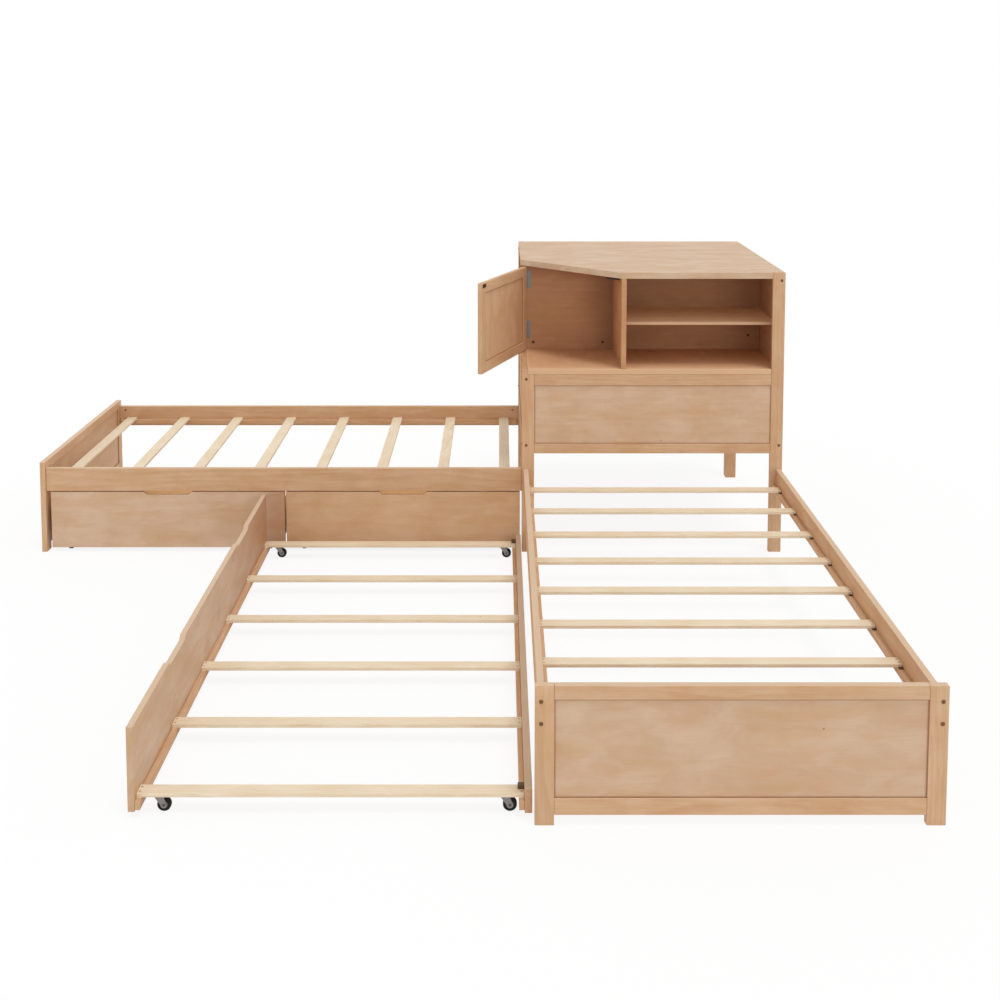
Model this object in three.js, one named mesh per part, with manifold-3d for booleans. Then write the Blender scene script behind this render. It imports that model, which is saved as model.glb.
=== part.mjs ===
// L-shaped platform bed for the corner of a room, in millimetres with +Z up.
// Two slatted beds meet at a right angle at a corner bookcase, whose two sides are their
// headboards. Bed A runs along Y with a rolling trundle below it. Bed B runs along X with two
// rolling drawers below it. The origin is on the floor, below the middle of the outer box.
import * as THREE from 'three';
import { mergeVertices } from 'three/addons/utils/BufferGeometryUtils.js';
import Module from 'manifold-3d';

const wasm = await Module();
wasm.setup();

// Overall sizes of one bed, from the footboard's face to the headboard's face
const bedWidth = 1060;
const bedLength = 1965;

// Gap left between boards that are glued or bolted together
const fit = 0.3;
// How far a cutting tool runs past the face that it cuts
const overrun = 1;

// Posts, frame rails and the panels held in their grooves
const postWidth = 50;
const boardThickness = 22;
const panelThickness = 12;
const panelSetback = 5;
const grooveDepth = 8;
const postCornerRadius = 4;
const postCornerSteps = 4;

// Footboard
const footboardHeight = 374;
const footTopRailHeight = 37;
const footBottomRailHeight = 44.5;
const footGap = 28.5;

// Side rails and the slats on their ledgers
const sideRailThickness = 20;
const sideRailHeight = 95;
const sideRailTop = 348.5;
const sideRailInset = 6.4;
const ledgerWidth = 14;
const ledgerHeight = 20;
const ledgerTop = 284.5;
const ledgerEndGap = 8;
const slatWidth = 45;
const slatThickness = 10;
const slatCount = 8;
const slatsFromEndsA = { foot: 60, head: 94.8 };
const slatsFromEndsB = { foot: 84, head: 70.8 };

// Trundle, pulled out to the left of bed A
const trundleFromFoot = 11;
const trundleFromHead = 17;
const trundleStowedGap = 0.6;
const trundlePulledOutGap = 5;
const trundlePanelThickness = 18;
const trundleRailThickness = 20;
const trundlePanelBottom = 17;
const trundlePanelTop = 247;
const trundleRailBottom = 14;
const trundleRailTop = 80;
const trundleLedgerWidth = 14;
const trundleLedgerHeight = 25;
const trundleSlatThickness = 11;
const trundleSlatTop = 58;
const trundleSlatWidth = 45;
const trundleSlatCount = 6;
const trundleSlatEnd = 17.5;
const trundleHandleSpread = 484;

// Finger cut-outs in the top edges of the trundle panel and the drawer fronts
const handleTopWidth = 196;
const handleBottomWidth = 172;
const handleDepth = 12;

// Swivel castors of the trundle
const castorFromEdge = 72;
const castorTrail = 14;
const wheelDiameter = 37;
const tyreWidth = 14;
const tyreChamfer = 2;
const hubDiameter = 21;
const hubDish = 2;
const axleDiameter = 6;
const forkThickness = 1.8;
const forkSideGap = 1;
const forkCrownThickness = 2;
const forkPlateDiameter = 32;
const forkPlateThickness = 3;
const forkTopWidth = 25;
const forkEndRadius = 8.5;
const wheelSteps = 32;
const forkSteps = 8;

// Drawers below bed B
const drawerFrontThickness = 18;
const drawerFrontBottom = 17;
const drawerFrontTop = 249;
const drawerFootGap = 18;
const drawerHeadGap = 8;
const drawerMiddleGap = 7;
const drawerDepth = 480;
const drawerWallThickness = 14;
const drawerWallTop = 200;
const drawerBoxInset = 12;
const drawerFloorBottom = 42;
const drawerFloorThickness = 9;
const drawerWheelDiameter = 34;
const drawerWheelWidth = 14;
const drawerWheelInset = 67;
const drawerWheelFromFront = 38;
const drawerWheelFromBack = 45;
const drawerAxleDiameter = 8;
const bracketThickness = 5;
const bracketWidth = 26;
const bracketBelowAxle = 8;
const bracketWheelGap = 2;

// Corner bookcase
const unitHeight = 1154;
const topThickness = 25;
const lowerBoardBottom = 738;
const lowerBoardThickness = 22;
const carcassThickness = 20;
const chamfer = 401;
const headBottomRailBottom = 412;
const headBottomRailHeight = 40;
const headTopRailBottom = 693;
const shelfHeightShare = 0.492;
const shelfThickness = 12;
const shelfSetback = 66;

// Door across the chamfered corner, drawn closed and then swung open
const doorWidth = 524;
const doorThickness = 18;
const doorBottomGap = 3;
const doorTopGap = 3;
const doorStileWidth = 42;
const doorPanelThickness = 8;
const doorRebateDepth = 7;
const doorOpenDegrees = 66;
const hingeSetback = 12;
const hingeToDoor = 5;
const hingeHeight = 75;
const lowerHingeShare = 0.2254;
const upperHingeShare = 0.9014;
const hingeLeafWidth = 20;
const hingeLeafThickness = 1.6;
const hingeLeafInset = 1.5;
const knuckleDiameter = 7;
const hingePinDiameter = 3.6;
const knuckleSteps = 16;

// Heights, lengths and places that follow from the sizes above
const sideRailBottom = sideRailTop - sideRailHeight;
const slatTop = ledgerTop + slatThickness;
const lowerBoardTop = lowerBoardBottom + lowerBoardThickness;
const topBottom = unitHeight - topThickness;
const totalLength = bedLength + bedWidth;
const trundleLength = bedLength - boardThickness - trundleFromFoot - trundleFromHead;
const trundleWidth = bedWidth - sideRailInset - trundleStowedGap;
const shelfTop = lowerBoardTop + shelfHeightShare * (topBottom - lowerBoardTop);
const closedDegrees = -45;

// The hinges stand at shares of the height that the two leave free on the door
const doorBottom = lowerBoardTop + doorBottomGap;
const doorHeight = topBottom - doorTopGap - doorBottom;
const hingeFreeHeight = doorHeight - 2 * hingeHeight;
const hingeHeights = {
  lower: lowerHingeShare * hingeFreeHeight,
  upper: hingeHeight + upperHingeShare * hingeFreeHeight,
};

// Finishes
const finishes = {
  timber: { color: 0xd2ab84, roughness: 0.55, metalness: 0 },
  slat: { color: 0xe8cfa8, roughness: 0.65, metalness: 0 },
  steel: { color: 0x8f9aa0, roughness: 0.4, metalness: 0.8 },
  fork: { color: 0x77716f, roughness: 0.45, metalness: 0.6 },
  tyre: { color: 0x101010, roughness: 0.7, metalness: 0 },
};

// A closed mesh as a solid that can be joined or cut, and back again
function toSolid(geometry) {
  const bare = geometry.clone();
  bare.deleteAttribute('normal');
  bare.deleteAttribute('uv');
  const merged = mergeVertices(bare);
  return new wasm.Manifold(new wasm.Mesh({
    numProp: 3,
    vertProperties: new Float32Array(merged.attributes.position.array),
    triVerts: new Uint32Array(merged.index.array),
  }));
}

function toGeometry(solid) {
  const { vertProperties, triVerts } = solid.getMesh();
  const geometry = new THREE.BufferGeometry();
  geometry.setAttribute('position', new THREE.BufferAttribute(vertProperties, 3));
  geometry.setIndex(new THREE.BufferAttribute(triVerts, 1));
  geometry.computeVertexNormals();
  return geometry;
}

function join(first, ...others) {
  return toGeometry(others.reduce((whole, other) => whole.add(toSolid(other)), toSolid(first)));
}

function cut(first, ...tools) {
  return toGeometry(tools.reduce((rest, tool) => rest.subtract(toSolid(tool)), toSolid(first)));
}

// A box between two places along each axis
function block([x0, x1], [y0, y1], [z0, z1]) {
  const geometry = new THREE.BoxGeometry(x1 - x0, y1 - y0, z1 - z0);
  return geometry.translate((x0 + x1) / 2, (y0 + y1) / 2, (z0 + z1) / 2);
}

// An outline in plan, from one height to another
function standing(shape, z0, z1, steps = 1) {
  const options = { depth: z1 - z0, bevelEnabled: false, curveSegments: steps };
  return new THREE.ExtrudeGeometry(shape, options).translate(0, 0, z0);
}

// An outline seen from the front, in x and z, from one place along y to another
function facing(shape, y0, y1, steps = 1) {
  const options = { depth: y1 - y0, bevelEnabled: false, curveSegments: steps };
  return new THREE.ExtrudeGeometry(shape, options).rotateX(Math.PI / 2).translate(0, y1, 0);
}

function outline(points) {
  return new THREE.Shape(points.map(([x, y]) => new THREE.Vector2(x, y)));
}

function cylinder(diameter, height, steps) {
  return new THREE.CylinderGeometry(diameter / 2, diameter / 2, height, steps);
}

function addPart(group, name, geometry, finish) {
  const mesh = new THREE.Mesh(geometry, new THREE.MeshStandardMaterial(finishes[finish]));
  mesh.name = name;
  group.add(mesh);
  return mesh;
}

// A board standing on edge, with one top corner rounded or both
function postShape(x0, x1, top, roundLeft, roundRight) {
  const shape = new THREE.Shape();
  const r = postCornerRadius;
  shape.moveTo(x0, 0);
  shape.lineTo(x1, 0);
  if (roundRight) {
    shape.lineTo(x1, top - r);
    shape.absarc(x1 - r, top - r, r, 0, Math.PI / 2, false);
  } else {
    shape.lineTo(x1, top);
  }
  if (roundLeft) {
    shape.lineTo(x0 + r, top);
    shape.absarc(x0 + r, top - r, r, Math.PI / 2, Math.PI, false);
  } else {
    shape.lineTo(x0, top);
  }
  return shape;
}

// The groove for a panel's edge, around the space that the panel fills
function grooveFor([x0, x1], [z0, z1]) {
  const y0 = panelSetback - fit;
  const y1 = panelSetback + panelThickness + fit;
  const reach = grooveDepth + fit;
  return block([x0 - reach, x1 + reach], [y0, y1], [z0 - reach, z1 + reach]);
}

// Two rails and the panel in their grooves, between two posts
function addPanelFrame(group, name, [x0, x1], [z0, z1], bottomHeight, topHeight) {
  const bottomTop = z0 + bottomHeight;
  const topUnder = z1 - topHeight;
  const groove = grooveFor([x0, x1], [bottomTop, topUnder]);
  const across = [x0 + fit, x1 - fit];
  const deep = [0, boardThickness];
  addPart(group, `${name}_bottom_rail`, cut(block(across, deep, [z0, bottomTop]), groove), 'timber');
  addPart(group, `${name}_top_rail`, cut(block(across, deep, [topUnder, z1]), groove), 'timber');
  const panelX = [x0 - grooveDepth, x1 + grooveDepth];
  const panelY = [panelSetback, panelSetback + panelThickness];
  const panelZ = [bottomTop - grooveDepth, topUnder + grooveDepth];
  addPart(group, `${name}_panel`, block(panelX, panelY, panelZ), 'timber');
}

// Bed: a footboard, two side rails, and the slats with the ledgers that they are screwed to.
// It runs along +Y from the footboard's outer face.
function makeBed(name, slatsFromEnds) {
  const bed = new THREE.Group();
  const inner = [postWidth, bedWidth - postWidth];
  const frameZ = [footGap, footboardHeight];
  const groove = grooveFor(inner, [footGap + footBottomRailHeight, footboardHeight - footTopRailHeight]);
  const leftPost = facing(postShape(0, postWidth, footboardHeight, true, false),
    0, boardThickness, postCornerSteps);
  const rightPost = facing(postShape(bedWidth - postWidth, bedWidth, footboardHeight, false, true),
    0, boardThickness, postCornerSteps);
  addPart(bed, `${name}_footboard_left_post`, cut(leftPost, groove), 'timber');
  addPart(bed, `${name}_footboard_right_post`, cut(rightPost, groove), 'timber');
  addPanelFrame(bed, `${name}_footboard`, inner, frameZ, footBottomRailHeight, footTopRailHeight);

  const railY = [boardThickness + fit, bedLength - fit];
  const railZ = [sideRailBottom, sideRailTop];
  const railInner = sideRailInset + sideRailThickness;
  addPart(bed, `${name}_left_side_rail`, block([sideRailInset, railInner], railY, railZ), 'timber');
  addPart(bed, `${name}_right_side_rail`,
    block([bedWidth - railInner, bedWidth - sideRailInset], railY, railZ), 'timber');

  const deckX = [railInner + fit, bedWidth - railInner - fit];
  const ledgerY = [boardThickness + ledgerEndGap, bedLength - ledgerEndGap];
  const ledgerZ = [ledgerTop - ledgerHeight, ledgerTop];
  const pitch = (bedLength - slatsFromEnds.foot - slatsFromEnds.head) / (slatCount - 1);
  const slats = [];
  for (let i = 0; i < slatCount; i += 1) {
    const middle = slatsFromEnds.foot + i * pitch;
    slats.push(block(deckX, [middle - slatWidth / 2, middle + slatWidth / 2], [ledgerTop, slatTop]));
  }
  const leftLedger = block([deckX[0], deckX[0] + ledgerWidth], ledgerY, ledgerZ);
  const rightLedger = block([deckX[1] - ledgerWidth, deckX[1]], ledgerY, ledgerZ);
  addPart(bed, `${name}_slats_on_ledgers`, join(leftLedger, rightLedger, ...slats), 'slat');
  return bed;
}

// Front board with finger cut-outs in its top edge, its face at y = 0
function handledBoard([x0, x1], [z0, z1], thickness, handleCentres) {
  const points = [[x0, z0], [x1, z0], [x1, z1]];
  for (const centre of [...handleCentres].reverse()) {
    points.push([centre + handleTopWidth / 2, z1]);
    points.push([centre + handleBottomWidth / 2, z1 - handleDepth]);
    points.push([centre - handleBottomWidth / 2, z1 - handleDepth]);
    points.push([centre - handleTopWidth / 2, z1]);
  }
  points.push([x0, z1]);
  return facing(outline(points), 0, thickness);
}

// Castor fork: plate, crown, two cheeks and the axle, turned so that the wheel trails to +X.
// The swivel axis is x = y = 0 and the plate's top is at z = top.
function castorFork(top) {
  const crownTop = top - forkPlateThickness;
  const crownUnder = crownTop - forkCrownThickness;
  const axleHeight = wheelDiameter / 2;
  const half = tyreWidth / 2 + forkSideGap;
  const cheek = new THREE.Shape();
  cheek.moveTo(-forkTopWidth / 2, crownTop);
  cheek.lineTo(castorTrail - forkEndRadius, axleHeight);
  cheek.absarc(castorTrail, axleHeight, forkEndRadius, Math.PI, 2 * Math.PI, false);
  cheek.lineTo(forkTopWidth / 2, crownTop);
  const crown = block([-forkTopWidth / 2, forkTopWidth / 2],
    [-half - forkThickness, half + forkThickness], [crownUnder, crownTop]);
  const plate = cylinder(forkPlateDiameter, forkPlateThickness, wheelSteps)
    .rotateX(Math.PI / 2).translate(0, 0, top - forkPlateThickness / 2);
  const axleLength = 2 * (half + forkThickness);
  const axle = cylinder(axleDiameter, axleLength, knuckleSteps).translate(castorTrail, 0, axleHeight);
  return join(crown, plate, facing(cheek, -half - forkThickness, -half, forkSteps),
    facing(cheek, half, half + forkThickness, forkSteps), axle);
}

// Castor wheel with a dished hub, its axle along Y through the origin
function castorWheel() {
  const bore = axleDiameter / 2 + fit;
  const hub = hubDiameter / 2;
  const tread = wheelDiameter / 2;
  const side = tyreWidth / 2;
  const dish = side - hubDish;
  const shoulder = side - tyreChamfer;
  const profile = [[bore, -dish], [hub, -dish], [hub, -side], [tread - tyreChamfer, -side],
    [tread, -shoulder], [tread, shoulder], [tread - tyreChamfer, side], [hub, side],
    [hub, dish], [bore, dish], [bore, -dish]];
  return new THREE.LatheGeometry(profile.map(([x, y]) => new THREE.Vector2(x, y)), wheelSteps);
}

// Trundle: a tall outer panel, a low inner rail, slats on two ledgers, and four castors.
// Its outer face is at x = 0 and its end by the footboard at y = 0.
function makeTrundle() {
  const trundle = new THREE.Group();
  const middle = trundleLength / 2;
  const handles = [middle - trundleHandleSpread, middle + trundleHandleSpread];
  const panel = handledBoard([0, trundleLength], [trundlePanelBottom, trundlePanelTop],
    trundlePanelThickness, handles);
  // The panel is drawn along X, so it is turned to run along Y with its face to -X
  panel.rotateZ(-Math.PI / 2).translate(0, trundleLength, 0);
  addPart(trundle, 'trundle_front_panel', panel, 'timber');

  const railX = [trundleWidth - trundleRailThickness, trundleWidth];
  addPart(trundle, 'trundle_inner_rail',
    block(railX, [0, trundleLength], [trundleRailBottom, trundleRailTop]), 'timber');

  const deckX = [trundlePanelThickness + fit, railX[0] - fit];
  const slatUnder = trundleSlatTop - trundleSlatThickness;
  const ledgerZ = [slatUnder - trundleLedgerHeight, slatUnder];
  const firstMiddle = trundleSlatEnd + trundleSlatWidth / 2;
  const pitch = (trundleLength - 2 * firstMiddle) / (trundleSlatCount - 1);
  const slats = [];
  for (let i = 0; i < trundleSlatCount; i += 1) {
    const y = firstMiddle + i * pitch;
    slats.push(block(deckX, [y - trundleSlatWidth / 2, y + trundleSlatWidth / 2],
      [slatUnder, trundleSlatTop]));
  }
  const ledgerY = [0, trundleLength];
  const leftLedger = block([deckX[0], deckX[0] + trundleLedgerWidth], ledgerY, ledgerZ);
  const rightLedger = block([deckX[1] - trundleLedgerWidth, deckX[1]], ledgerY, ledgerZ);
  addPart(trundle, 'trundle_slats_on_ledgers', join(leftLedger, rightLedger, ...slats), 'slat');

  const castorX = { outer: castorFromEdge, inner: trundleWidth - castorFromEdge };
  const castorY = { front: firstMiddle, back: trundleLength - firstMiddle };
  for (const [end, y] of Object.entries(castorY)) {
    for (const [side, x] of Object.entries(castorX)) {
      const fork = addPart(trundle, `castor_fork_${end}_${side}`, castorFork(slatUnder - fit), 'fork');
      fork.position.set(x, y, 0);
      const wheel = addPart(trundle, `castor_wheel_${end}_${side}`, castorWheel(), 'tyre');
      wheel.position.set(x + castorTrail, y, wheelDiameter / 2);
    }
  }
  return trundle;
}

// Two wheels on one steel axle along X, its middle at the origin
function wheelAxle(span) {
  const axle = drawerAxleDiameter / 2;
  const wheel = drawerWheelDiameter / 2;
  const outer = span / 2 + drawerWheelWidth / 2;
  const inner = outer - drawerWheelWidth;
  const profile = [[0, -outer], [wheel, -outer], [wheel, -inner], [axle, -inner], [axle, inner],
    [wheel, inner], [wheel, outer], [0, outer]];
  const points = profile.map(([x, y]) => new THREE.Vector2(x, y));
  return new THREE.LatheGeometry(points, wheelSteps).rotateZ(-Math.PI / 2);
}

// Drawer: a front with a finger cut-out, and an open box on two wheel axles.
// Its face is at y = 0 and its left end at x = 0.
function makeDrawer(name, width) {
  const drawer = new THREE.Group();
  const front = handledBoard([0, width], [drawerFrontBottom, drawerFrontTop],
    drawerFrontThickness, [width / 2]);
  addPart(drawer, `${name}_front`, front, 'timber');

  const boxX = [drawerBoxInset, width - drawerBoxInset];
  const boxY = [drawerFrontThickness + fit, drawerDepth];
  const floorTop = drawerFloorBottom + drawerFloorThickness;
  const outside = block(boxX, boxY, [drawerFloorBottom, drawerWallTop]);
  const inside = block([boxX[0] + drawerWallThickness, boxX[1] - drawerWallThickness],
    [boxY[0] + drawerWallThickness, boxY[1] - drawerWallThickness], [floorTop, drawerWallTop + overrun]);
  const axleHeight = drawerWheelDiameter / 2;
  const axleHole = drawerAxleDiameter + 2 * fit;
  const axlePlaces = { front: drawerWheelFromFront, back: drawerDepth - drawerWheelFromBack };
  const wheelInner = drawerWheelInset + drawerWheelWidth / 2 + bracketWheelGap;
  const bracketZ = [axleHeight - bracketBelowAxle, drawerFloorBottom];
  const brackets = [];
  const holes = [];
  for (const y of Object.values(axlePlaces)) {
    for (const x of [wheelInner, width - wheelInner - bracketThickness]) {
      brackets.push(block([x, x + bracketThickness],
        [y - bracketWidth / 2, y + bracketWidth / 2], bracketZ));
    }
    holes.push(cylinder(axleHole, width, wheelSteps).rotateZ(Math.PI / 2)
      .translate(width / 2, y, axleHeight));
  }
  const box = cut(join(outside, ...brackets), inside, ...holes);
  addPart(drawer, `${name}_box`, box, 'timber');
  for (const [end, y] of Object.entries(axlePlaces)) {
    const wheels = wheelAxle(width - 2 * drawerWheelInset);
    addPart(drawer, `${name}_${end}_wheels`, wheels, 'tyre').position.set(width / 2, y, axleHeight);
  }
  return drawer;
}

// A hinge's knuckle, pin or bore, up the z axis from one height to another
function upright(diameter, [z0, z1]) {
  return cylinder(diameter, z1 - z0, knuckleSteps).rotateX(Math.PI / 2).translate(0, 0, (z0 + z1) / 2);
}

// Hinge, its pin up the z axis from z = 0. The fixed leaf bends from the pin to the face that
// it is screwed to, which lies at y = setback, and its knuckle is the lower half.
function fixedLeaf(setback) {
  const half = hingeHeight / 2;
  const web = hingeLeafThickness / 2;
  const face = setback - fit;
  const under = face - hingeLeafThickness;
  const turn = under + web;
  const plate = outline([[web, -web], [turn + web, turn - web], [turn + hingeLeafWidth, under],
    [turn + hingeLeafWidth, face], [turn, face], [-web, web]]);
  const knuckle = upright(knuckleDiameter, [0, half]);
  const upperKnuckle = upright(knuckleDiameter + 2 * fit, [half, hingeHeight + overrun]);
  const pin = upright(hingePinDiameter, [0, hingeHeight]);
  return join(cut(standing(plate, 0, hingeHeight), upperKnuckle), knuckle, pin);
}

// The door's leaf, on the door's end and with the upper half of the knuckle. The door runs
// from the pin along +x here, with its outer face at y = 0.
function doorLeaf() {
  const half = hingeHeight / 2;
  const end = hingeToDoor - fit;
  const start = end - hingeLeafThickness;
  const plate = block([start, end], [0, doorThickness - hingeLeafInset], [0, hingeHeight]);
  const armY = [-hingeLeafThickness / 2, hingeLeafThickness];
  const arm = block([0, start + fit], armY, [half + fit, hingeHeight]);
  const knuckle = upright(knuckleDiameter, [half + fit, hingeHeight]);
  const lowerKnuckle = upright(knuckleDiameter + 2 * fit, [-overrun, half + fit]);
  const bore = upright(hingePinDiameter + 2 * fit, [-overrun, hingeHeight + overrun]);
  return cut(join(plate, arm, knuckle), lowerKnuckle, bore);
}

// Door: a frame with a rebated panel, from the pin along +x, its outer face at y = 0
function makeDoor() {
  const door = new THREE.Group();
  const x = [hingeToDoor, hingeToDoor + doorWidth];
  const opening = { x: [x[0] + doorStileWidth, x[1] - doorStileWidth],
    z: [doorStileWidth, doorHeight - doorStileWidth] };
  const panelY = [(doorThickness - doorPanelThickness) / 2, (doorThickness + doorPanelThickness) / 2];
  const hole = block(opening.x, [-overrun, doorThickness + overrun], opening.z);
  const grow = ([low, high], by) => [low - by, high + by];
  const rebate = block(grow(opening.x, doorRebateDepth + fit), grow(panelY, fit),
    grow(opening.z, doorRebateDepth + fit));
  const frame = cut(block(x, [0, doorThickness], [0, doorHeight]), hole, rebate);
  addPart(door, 'door_frame', frame, 'timber');
  addPart(door, 'door_panel', block(grow(opening.x, doorRebateDepth), panelY,
    grow(opening.z, doorRebateDepth)), 'timber');
  for (const [place, z] of Object.entries(hingeHeights)) {
    addPart(door, `door_${place}_hinge_leaf`, doorLeaf(), 'steel').position.z = z;
  }
  return door;
}

// Corner bookcase, with the headboard of bed A along y = 0 and that of bed B along x = 0
function makeCornerUnit() {
  const unit = new THREE.Group();
  const inner = [postWidth, bedWidth - postWidth];
  const panelZ = [headBottomRailBottom + headBottomRailHeight, headTopRailBottom];
  const grooveA = grooveFor(inner, panelZ);
  // Bed B's headboard is bed A's turned a quarter, so that its face looks to -X
  const turnToB = (geometry) => geometry.rotateZ(-Math.PI / 2).translate(0, bedWidth, 0);
  const grooveB = turnToB(grooveFor(inner, panelZ));

  const corner = outline([[0, 0], [postWidth, 0], [postWidth, boardThickness],
    [boardThickness, boardThickness], [boardThickness, postWidth], [0, postWidth]]);
  const boardSeat = block([boardThickness, postWidth + overrun], [-overrun, boardThickness + overrun],
    [lowerBoardBottom - fit, lowerBoardTop + overrun]);
  addPart(unit, 'corner_post', cut(standing(corner, 0, lowerBoardTop), boardSeat, grooveA, grooveB),
    'timber');
  const tallPost = () => facing(postShape(bedWidth - postWidth, bedWidth, unitHeight, false, false),
    0, boardThickness);
  addPart(unit, 'bed_a_headboard_right_post', cut(tallPost(), grooveA), 'timber');
  // Mirrored about the diagonal, the same post stands at the far end of bed B's headboard
  const farPost = block([0, boardThickness], [bedWidth - postWidth, bedWidth], [0, unitHeight]);
  addPart(unit, 'bed_b_headboard_far_post', cut(farPost, grooveB), 'timber');
  const legSide = [bedWidth - postWidth, bedWidth];
  addPart(unit, 'back_corner_leg', block(legSide, legSide, [0, lowerBoardBottom - fit]), 'timber');

  addPanelFrame(unit, 'bed_a_headboard', inner, [headBottomRailBottom, lowerBoardBottom - fit],
    headBottomRailHeight, lowerBoardBottom - fit - headTopRailBottom);
  const headboardB = new THREE.Group();
  addPanelFrame(headboardB, 'bed_b_headboard', inner, [headBottomRailBottom, lowerBoardTop],
    headBottomRailHeight, lowerBoardTop - headTopRailBottom);
  headboardB.rotation.z = -Math.PI / 2;
  headboardB.position.y = bedWidth;
  unit.add(headboardB);

  // Lower board, let in behind the rail of bed B's headboard and notched round the right post
  const postNotch = block([bedWidth - postWidth - fit, bedWidth + overrun],
    [-overrun, boardThickness + fit], [-overrun, unitHeight + overrun]);
  const farNotch = block([-overrun, boardThickness + fit],
    [bedWidth - postWidth - fit, bedWidth + overrun], [-overrun, unitHeight + overrun]);
  const lowerBoard = block([boardThickness + fit, bedWidth], [0, bedWidth],
    [lowerBoardBottom, lowerBoardTop]);
  addPart(unit, 'lower_board', cut(lowerBoard, postNotch), 'timber');
  const topShape = outline([[chamfer, 0], [bedWidth, 0], [bedWidth, bedWidth], [0, bedWidth],
    [0, chamfer]]);
  addPart(unit, 'top_board', cut(standing(topShape, topBottom, unitHeight), postNotch, farNotch),
    'timber');

  // Upright boards between the lower board and the top
  const uprightZ = [lowerBoardTop + fit, topBottom - fit];
  const innerFace = bedWidth - carcassThickness;
  const wall = [chamfer, chamfer + carcassThickness];
  addPart(unit, 'front_divider', block(wall, [0, wall[0] - fit], uprightZ), 'timber');
  addPart(unit, 'cross_panel', block([0, innerFace - fit], wall, uprightZ), 'timber');
  addPart(unit, 'side_bookcase_back', block(wall, [wall[1] + fit, innerFace - fit], uprightZ), 'timber');
  addPart(unit, 'right_side_panel',
    block([innerFace, bedWidth], [boardThickness + fit, bedWidth], uprightZ), 'timber');
  addPart(unit, 'back_side_panel',
    block([boardThickness + fit, innerFace - fit], [innerFace, bedWidth], uprightZ), 'timber');

  // One shelf faces bed A and one faces bed B
  const shelfLong = [wall[1] + fit, innerFace - fit];
  const shelfDeep = [shelfSetback, wall[0] - fit];
  const shelfZ = [shelfTop - shelfThickness, shelfTop];
  addPart(unit, 'front_shelf', block(shelfLong, shelfDeep, shelfZ), 'timber');
  addPart(unit, 'side_shelf', block(shelfDeep, shelfLong, shelfZ), 'timber');

  // Hinges and door at the chamfered corner
  const pin = new THREE.Vector3(hingeSetback, chamfer - hingeSetback, doorBottom);
  for (const [place, z] of Object.entries(hingeHeights)) {
    const leaf = addPart(unit, `${place}_hinge_leaf`, fixedLeaf(hingeSetback), 'steel');
    leaf.position.set(pin.x, pin.y, pin.z + z);
  }
  const door = makeDoor();
  door.position.copy(pin);
  door.rotation.z = THREE.MathUtils.degToRad(closedDegrees - doorOpenDegrees);
  unit.add(door);
  return unit;
}

const platformBed = new THREE.Group();
platformBed.position.set(bedLength - totalLength / 2, -totalLength / 2, 0);

platformBed.add(makeBed('bed_a', slatsFromEndsA));

const bedB = makeBed('bed_b', slatsFromEndsB);
bedB.rotation.z = -Math.PI / 2;
bedB.position.set(-bedLength, totalLength, 0);
platformBed.add(bedB);

const cornerUnit = makeCornerUnit();
cornerUnit.position.y = bedLength;
platformBed.add(cornerUnit);

const trundle = makeTrundle();
trundle.position.set(-trundlePulledOutGap - trundleWidth, boardThickness + trundleFromFoot, 0);
platformBed.add(trundle);

// The two drawers share the space between the footboard of bed B and its headboard
const drawersStart = -bedLength + boardThickness + drawerFootGap;
const drawerWidth = (-drawerHeadGap - drawersStart - drawerMiddleGap) / 2;
const drawerPlaces = { left: drawersStart, right: drawersStart + drawerWidth + drawerMiddleGap };
for (const [side, x] of Object.entries(drawerPlaces)) {
  const drawer = makeDrawer(`${side}_drawer`, drawerWidth);
  drawer.position.set(x, bedLength + sideRailInset, 0);
  platformBed.add(drawer);
}

export default platformBed;
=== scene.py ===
# L-shaped platform bed: two slatted beds, a corner bookcase, a trundle and two drawers, in metres.
# Bed A runs towards the viewer on the right and bed B to the left. Timber is satin varnished.
import math
import random

import bmesh
import bpy
from mathutils import Matrix, Vector


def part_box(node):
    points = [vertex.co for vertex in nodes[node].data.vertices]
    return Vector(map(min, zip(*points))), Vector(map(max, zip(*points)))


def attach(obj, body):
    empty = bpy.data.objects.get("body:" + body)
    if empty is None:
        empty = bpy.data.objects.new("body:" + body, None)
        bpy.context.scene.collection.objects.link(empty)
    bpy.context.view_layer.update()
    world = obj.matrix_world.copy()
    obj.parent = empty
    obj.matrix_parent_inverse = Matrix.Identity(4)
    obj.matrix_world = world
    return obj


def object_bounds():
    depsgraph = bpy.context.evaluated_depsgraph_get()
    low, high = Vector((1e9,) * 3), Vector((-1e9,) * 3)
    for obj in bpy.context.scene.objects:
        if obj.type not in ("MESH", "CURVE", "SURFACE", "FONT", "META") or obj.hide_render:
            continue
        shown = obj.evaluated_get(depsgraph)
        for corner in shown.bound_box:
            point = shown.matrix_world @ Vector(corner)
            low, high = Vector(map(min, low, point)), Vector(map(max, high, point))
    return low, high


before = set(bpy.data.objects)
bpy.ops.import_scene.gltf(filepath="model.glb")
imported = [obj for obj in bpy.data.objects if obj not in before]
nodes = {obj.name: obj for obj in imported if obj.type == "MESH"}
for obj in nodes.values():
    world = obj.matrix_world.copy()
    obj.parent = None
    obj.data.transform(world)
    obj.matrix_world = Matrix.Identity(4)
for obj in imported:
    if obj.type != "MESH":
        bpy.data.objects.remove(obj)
cad_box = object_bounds()
low, high = cad_box


# Camera: in front of the trundle and a little above head height, looking along the beds. The
# shift brings the low beds up into the picture, as a view camera does.
camera_height = 1.8947
camera_distance = 3.1651
camera_right = 0.3634
camera_pitch_degrees = 5.0
lens_mm = 46.35
sensor_mm = 36
rise_share = -0.2996

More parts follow.
